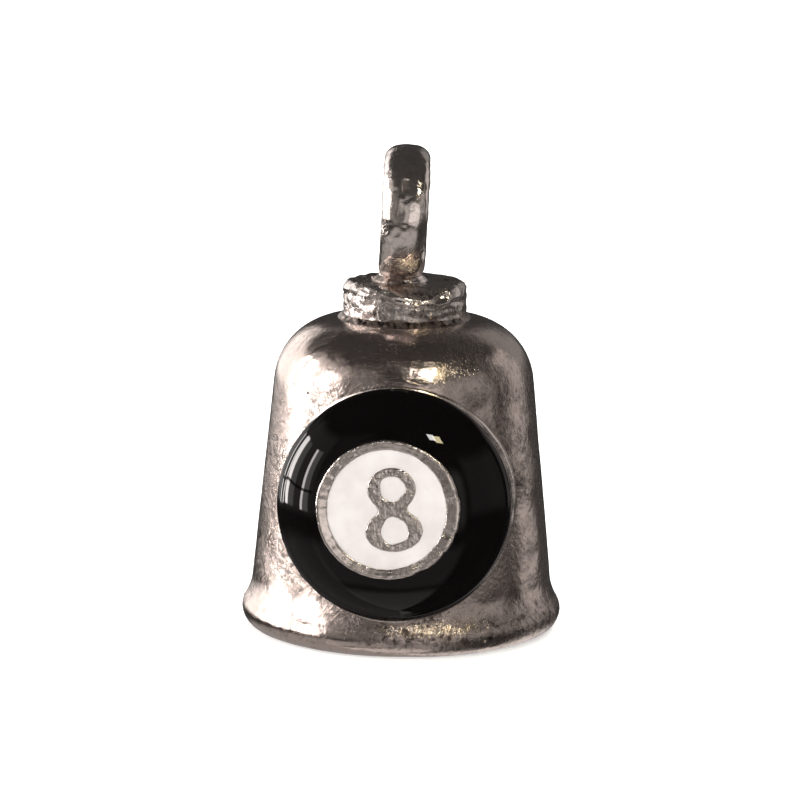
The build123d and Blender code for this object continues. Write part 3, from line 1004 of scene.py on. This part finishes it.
def white_layer(name, inner, outer, rim):
    """A closed flat layer between two lines of as many points, or out from a point."""
    rows = []
    for k in range(FIELD_ROWS + 1):
        s = k / FIELD_ROWS
        creep = rim * (max(0.0, 1 - s / 0.14) ** 2 * (inner is not None) + max(0.0, (s - 0.86) / 0.14) ** 2)
        for i, edge in enumerate(outer):
            start = inner[i] if inner is not None else centre_of(outer)
            u, v = (start[axis] + (edge[axis] - start[axis]) * s for axis in (0, 1))
            rows.append((u, v, ENAMEL_TOP + creep + 0.008 * lumpy(u, v, 3)))
    under = [(u, v, ENAMEL_FLOOR + 0.02) for u, v, w in reversed(rows)]
    columns = len(outer)
    flipped = []
    for k in range(FIELD_ROWS + 1):
        flipped += list(reversed(under[k * columns:(k + 1) * columns]))
    mesh = bpy.data.meshes.new(name)
    mesh.from_pydata(
        [on_boss(*p) * MM for p in rows + flipped], [], grid_faces(2 * (FIELD_ROWS + 1), columns, True)
    )
    return face_out(mesh)


def centre_of(line):
    """The middle of a closed line."""
    return [sum(p[axis] for p in line) / len(line) for axis in (0, 1)]


numeral_edge = [numeral_place(x * 0.985, y * 0.985) for x, y in outline]
field_edge = []
for u, v in numeral_edge:
    a = atan2(v, u - NUMERAL_SHIFT)
    back = NUMERAL_SHIFT * cos(a)
    far = -back + sqrt(back * back + (RING_IN + 0.03) ** 2 - NUMERAL_SHIFT ** 2)
    field_edge.append((NUMERAL_SHIFT + far * cos(a), far * sin(a)))
white_mesh = white_layer("white_field", numeral_edge, field_edge, 0.05)
place_piece("white_enamel_layer", white_mesh, "bell", ["white_enamel_field"], white_glass)

drops = bmesh.new()
for centre_x, centre_y, radius, phase in COUNTERS:
    drop_line = [numeral_place(x, y) for x, y in counter_line(centre_x, centre_y, radius + 0.03, phase)]
    drop_mesh = white_layer("drop", None, drop_line, 0.05)
    drops.from_mesh(drop_mesh)
drops_mesh = bpy.data.meshes.new("drops")
drops.to_mesh(drops_mesh)
drops.free()
face_out(drops_mesh)
counters_node = ["white_enamel_counters"]
place_piece("white_enamel_drops", drops_mesh, "bell", counters_node, white_glass)

# %% [markdown]
# ## The clapper
# The clapper swings on two wire rings: an eye fixed in the tang, a link that hangs in it, and a ring
# bent at the top of the stem. Wire along a line is a natural job for Geometry Nodes: one tree takes
# any path and sweeps a round section along it, with a slight waver so that it isn't machine straight.

# %% The wire tree
wiring, bench, given = new_tree("wiring", [
    ("Wire Radius", "Float", 0.0004),
    ("Sides", "Int", 20),
    ("Step", "Float", 0.0002),
    ("Waver", "Float", 0.00002),
    ("Finish", "Material", None),
])
path = bench.node("GeometryNodeMeshToCurve", None, {0: given["Geometry"]})
even = bench.node("GeometryNodeResampleCurve", {"mode": "LENGTH"}, {"Curve": path, "Length": given["Step"]})
here = bench.node("GeometryNodeInputPosition")
shake = bench.node("ShaderNodeTexNoise", None, {"Vector": here, "Scale": 350.0, "Detail": 1.0}, out="Color")
centred = bench.vector("SUBTRACT", a=shake, b=(0.5, 0.5, 0.5))
push = bench.vector("SCALE", a=centred, scale=given["Waver"])
bent = bench.node("GeometryNodeSetPosition", None, {"Geometry": even, "Offset": push})
profile_sockets = {"Resolution": given["Sides"], 4: given["Wire Radius"]}
profile = bench.node("GeometryNodeCurvePrimitiveCircle", None, profile_sockets)
swept_sockets = {"Curve": bent, "Profile Curve": profile, "Fill Caps": True}
swept = bench.node("GeometryNodeCurveToMesh", None, swept_sockets)
end_tree(bench, swept, given["Finish"])
print("the wiring tree has", len(wiring.nodes), "nodes")


# %% Eye, link and stem
def ring_line(height, radius, fore_and_aft, steps=72):
    """A round path on the bell's axis, in the fore-and-aft plane or across it."""
    line = []
    for k in range(steps):
        a = TURN * k / steps
        out, up = radius * sin(a), height + radius * cos(a)
        line.append((0, out, up) if fore_and_aft else (out, 0, up))
    return line


def wire_piece(name, loops, body, node):
    """Wire bent along the loops, placed as the piece that stands for a clapper node."""
    mesh = run_tree(wiring, line_mesh(name, loops), wire_radius=WIRE * MM, finish=clapper_plate)
    place_piece(name, mesh, body, [node])


WIRE = 0.42
eye_low, eye_high = box_mm("clapper_eye")
link_low, link_high = box_mm("clapper_link")
stem_low, stem_high = box_mm("clapper_stem")
ball_low, ball_high = box_mm("clapper_ball")
eye_radius = eye_high.y - WIRE
eye_centre = eye_low.z + WIRE + eye_radius
link_radius = link_high.x - WIRE
link_centre = (link_low.z + link_high.z) / 2
stem_radius = stem_high.y - WIRE
stem_centre = stem_high.z - WIRE - stem_radius
shank = [(0, 0, eye_centre + eye_radius), (0, 0, eye_high.z)]
eye_loops = [(ring_line(eye_centre, eye_radius, True), True), (shank, False)]
link_loops = [(ring_line(link_centre, link_radius, False), True)]
wire_piece("clapper_eye_wire", eye_loops, "bell", "clapper_eye")
wire_piece("clapper_link_wire", link_loops, "link", "clapper_link")
stem_line = [(0, 0, stem_centre - stem_radius), (0, 0, stem_low.z)]
stem_loops = [(ring_line(stem_centre, stem_radius, True), True), (stem_line, False)]
wire_piece("clapper_stem_wire", stem_loops, "clapper", "clapper_stem")

# %% The clapper's ball
BORE = 0.45
ball_radius = ball_high.x
ball_centre = (ball_low.z + ball_high.z) / 2
ball_line = []
for k in range(49):
    a = radians(8.5 + 163 * k / 48)
    belt = 0.05 * hump(degrees(a), 90, 3.5)
    reach = (ball_radius - 0.05 + belt) * sin(a)
    ball_line.append((reach, ball_centre + (ball_radius - 0.03 + belt) * cos(a)))
ball_line += [(BORE, ball_line[-1][1]), (BORE, ball_line[0][1])]
ball_mesh = run_tree(
    turning, section(ball_line), around=120, along=110, wobble=0.02 * MM, wobble_scale=300.0,
    grain=0.02 * MM, grain_scale=1500.0, finish=clapper_plate,
)
place_piece("clapper_bob", ball_mesh, "clapper", ["clapper_ball"])

# %% The washer keeps its CAD shape and gets a finish
washer = frame["nodes"]["crown_washer"]
washer.data.materials.clear()
washer.data.materials.append(washer_grey)
print("washer under the crown, mm:", [round(v, 2) for v in box_mm("crown_washer")[0]])

# %% [markdown]
# ## Camera, floor and light
# The camera stands a little to the right of the front and 10.5 degrees above it, with a long lens, and
# is rolled by less than a degree because the charm hangs slightly askew. Polished metal shows nothing
# but its surroundings, so the room matters more than the lamps: tall windows on the left, a grey wall
# on the right and a dark ceiling. Soft lamps that only matt surfaces see light the floor and the white
# enamel. Two small spots, one white and one warm, make the glint in the black enamel.

# %% The camera
CAMERA_AZIMUTH, CAMERA_ELEVATION, CAMERA_ROLL = 5.0, 10.5, 0.72
CAMERA_DISTANCE = 0.3


def towards(azimuth, elevation):
    """The direction from the object to something at that azimuth, right of the front, and elevation."""
    a, e = radians(azimuth), radians(elevation)
    return Vector((sin(a) * cos(e), -cos(a) * cos(e), sin(e)))


camera = add_object("camera", bpy.data.cameras.new("camera"))
away = towards(CAMERA_AZIMUTH, CAMERA_ELEVATION)
camera.location = Vector((0, 0, 18 * MM)) + away * CAMERA_DISTANCE
camera.rotation_mode = "QUATERNION"
roll = Quaternion((0, 0, 1), radians(CAMERA_ROLL))
camera.rotation_quaternion = (-away).to_track_quat("-Z", "Y") @ roll
camera.data.lens, camera.data.sensor_width = 172.755, 36.0
camera.data.shift_x, camera.data.shift_y = -0.0045, -0.003
camera.data.clip_start = 0.01
bpy.context.scene.camera = camera

# %% The floor, which can be seen through from below
floor_mesh = bpy.data.meshes.new("floor")
FLOOR_RADIUS, FLOOR_SIDES = 1.6, 96
turns = [TURN * k / FLOOR_SIDES for k in reversed(range(FLOOR_SIDES))]
rim = [(FLOOR_RADIUS * sin(a), FLOOR_RADIUS * cos(a), 0) for a in turns]
floor_mesh.from_pydata(rim, [], [list(range(FLOOR_SIDES))])
floor = add_object("floor", floor_mesh)
floor.visible_glossy = False
floor_paint, bench, shader, place = new_finish("floor_paint")
steady(shader, Base_Color=(0.92, 0.92, 0.92, 1), Roughness=0.9, Specular_IOR_Level=0.0)
steady(shader, Emission_Color=(1, 1, 1, 1), Emission_Strength=0.55)
underside = bench.node("ShaderNodeNewGeometry", out="Backfacing")
clear = bench.node("ShaderNodeBsdfTransparent")
see_through = bench.node("ShaderNodeMixShader", None, {0: underside, 2: clear})
bench.tree.links.new(shader.outputs[0], see_through.socket.node.inputs[1])
bench.tree.links.new(see_through.socket, floor_paint.node_tree.nodes["Material Output"].inputs[0])
floor_mesh.materials.append(floor_paint)
floor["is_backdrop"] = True

# %% The room that the metal reflects
world = bpy.data.worlds.new("room")
bpy.context.scene.world = world
world.use_nodes = True
world.node_tree.nodes.clear()
bench = Bench(world.node_tree)
way = bench.node("ShaderNodeTexCoord", out="Generated")
part = bench.node("ShaderNodeSeparateXYZ", None, {0: way})
azimuth = bench.maths("ARCTAN2", part.also("X"), part.also("Y") * -1) * (360 / TURN)
elevation = bench.maths("ARCSINE", part.also("Z")) * (360 / TURN)
blotches = bench.speckle(way, 2.2, 3.0, 0.5)

# (azimuth from, to, elevation from, to, softness, strength)
SURFACES = [
    (-185, -55, -95, -22, 5, 0.36),
    (-60, 45, -52, -22, 5, 0.4),
    (-60, 45, -95, -58, 5, 0.75),
    (128, 185, -95, -24, 6, 0.9),
    (-112, -52, -8, 42, 4, 0.5),
    (-158, -112, -6, 26, 5, 1.7),
    (-50, -18, -10, 44, 5, 0.18),
    (-13, -1, -10, 25, 3, 0.45),
    (2, 40, -10, 20, 5, 0.95),
    (46, 90, -4, 30, 5, 0.34),
    (110, 138, -8, 34, 3, 0.6),
    (138, 170, 4, 40, 6, 0.25),
]
WINDOWS = [
    (-102, -97, -7, 30, 0.6, 26.0),
    (-97, -86, -7, 30, 0.8, 1.5),
    (-73, -69, -7, 30, 0.6, 24.0),
    (-69, -60, -7, 30, 0.8, 2.5),
    (-113, -111, -7, 30, 0.5, 9.0),
]
ROOM_TINT = (1.0, 0.95, 0.92, 1)
room = 0.03 + blotches * 0.05
for az_low, az_high, el_low, el_high, soft, strength in SURFACES + WINDOWS:
    room = room + elevation.within(el_low, el_high, soft) * azimuth.within(az_low, az_high, soft) * strength
BAR = 5.0
room = room * (1 - elevation.within(BAR - 0.8, BAR + 0.8, 0.3) * azimuth.within(-105, -55, 1.0) * 0.9)
seen = bench.node("ShaderNodeLightPath", out="Is Camera Ray")
MATT_SHARE = 0.32  # the windows would bleach the white enamel otherwise
room = room * (1 - seen.also("Is Diffuse Ray") * (1 - MATT_SHARE))
reflected = bench.node("ShaderNodeBackground", None, {"Color": ROOM_TINT, "Strength": room})
backdrop = bench.node("ShaderNodeBackground", None, {"Color": (1, 1, 1, 1), "Strength": 1.0})
both = bench.node("ShaderNodeMixShader", None, {0: seen, 1: reflected, 2: backdrop})
bench.node("ShaderNodeOutputWorld", None, {0: both})


# %% The lamps
def lamp(name, azimuth_deg, elevation_deg, distance, width, height, power, colour, shows):
    """A flat soft lamp that faces the charm. shows says whether polished surfaces reflect it."""
    light = bpy.data.lights.new(name, "AREA")
    light.shape, light.size, light.size_y = "RECTANGLE", width, height
    light.energy, light.color = power, colour
    thing = add_object(name, light)
    direction = towards(azimuth_deg, elevation_deg)
    thing.location = Vector((0, 0, 0.015)) + direction * distance
    thing.rotation_mode = "QUATERNION"
    thing.rotation_quaternion = direction.to_track_quat("Z", "Y")
    thing.visible_glossy = shows
    thing.visible_camera = False


lamp("front_fill", -20, 35, 0.6, 0.5, 0.5, 0.5, (1, 0.985, 0.98), False)
lamp("top_fill", 0, 88, 0.7, 0.8, 0.8, 4.0, (1, 1, 1), False)
lamp("back_fill", 170, 40, 0.7, 0.6, 0.6, 4.0, (1, 1, 1), False)
lamp("cool_spot", 28, 44.5, 0.5, 0.04, 0.05, 0.26, (1, 0.98, 0.95), True)
lamp("warm_spot", 34, 43, 0.5, 0.05, 0.055, 0.3, (1, 0.88, 0.52), True)
bpy.context.scene.view_settings.view_transform = "Standard"
bpy.context.scene.view_settings.look = "None"

# %% Sizes, and the end
low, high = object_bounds()
print("visual box, mm:", [round(v * 1000, 2) for v in (*low, *high)])
